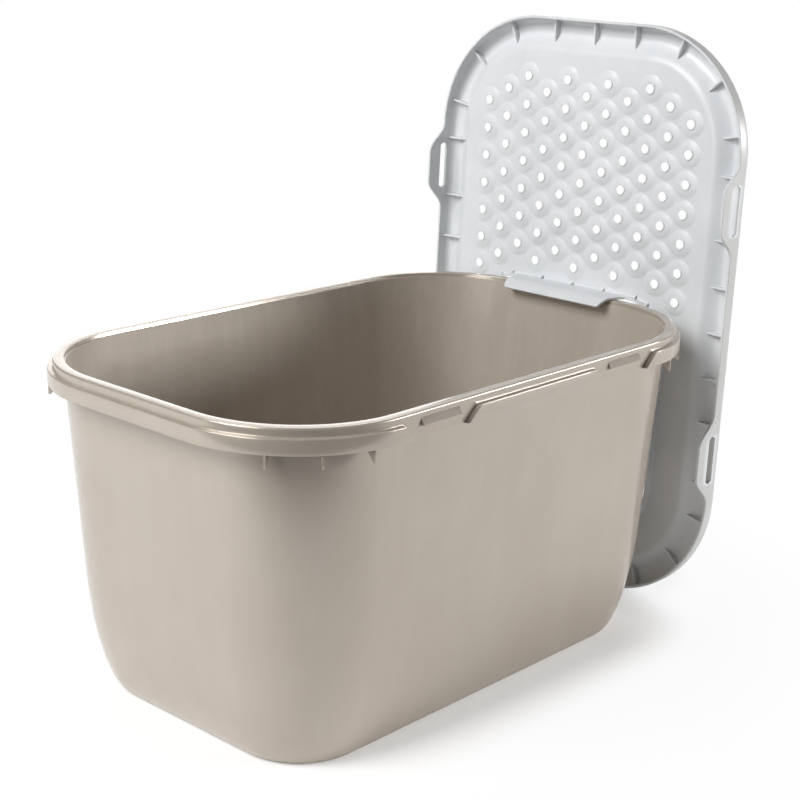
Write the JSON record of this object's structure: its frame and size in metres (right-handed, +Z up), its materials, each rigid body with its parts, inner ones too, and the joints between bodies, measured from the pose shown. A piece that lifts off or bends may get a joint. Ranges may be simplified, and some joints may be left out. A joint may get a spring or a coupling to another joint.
{
  "type": "top entry litter box",
  "caption": "Deep plastic tub with a stepped rim and a perforated top entry lid that hangs by its entry collar on the end of the rim.",
  "frame": {"origin": "centre of the tub's flat base, on the surface that it stands on", "axes": "+Z up, +X along the tub to the end where the lid hangs, -Y towards the near long side"},
  "size_m": [0.6164, 0.3845, 0.582],
  "materials": {
    "tub_plastic": "glossy, warm taupe",
    "lid_plastic": "semi-matt, cool pale grey"
  },
  "bodies": {
    "tub": {"tub_shell": "tub_plastic", "tub_rim": "tub_plastic"},
    "lid": {"lid_rim": "lid_plastic", "lid_walk_field": "lid_plastic", "lid_entry_collar": "lid_plastic"}
  },
  "joints": [
    {"name": "lid_lift", "type": "slide", "parent": "tub", "child": "lid", "axis": [0.0349, 0, 0.9994], "range_m": [0, 0.34]}
  ]
}
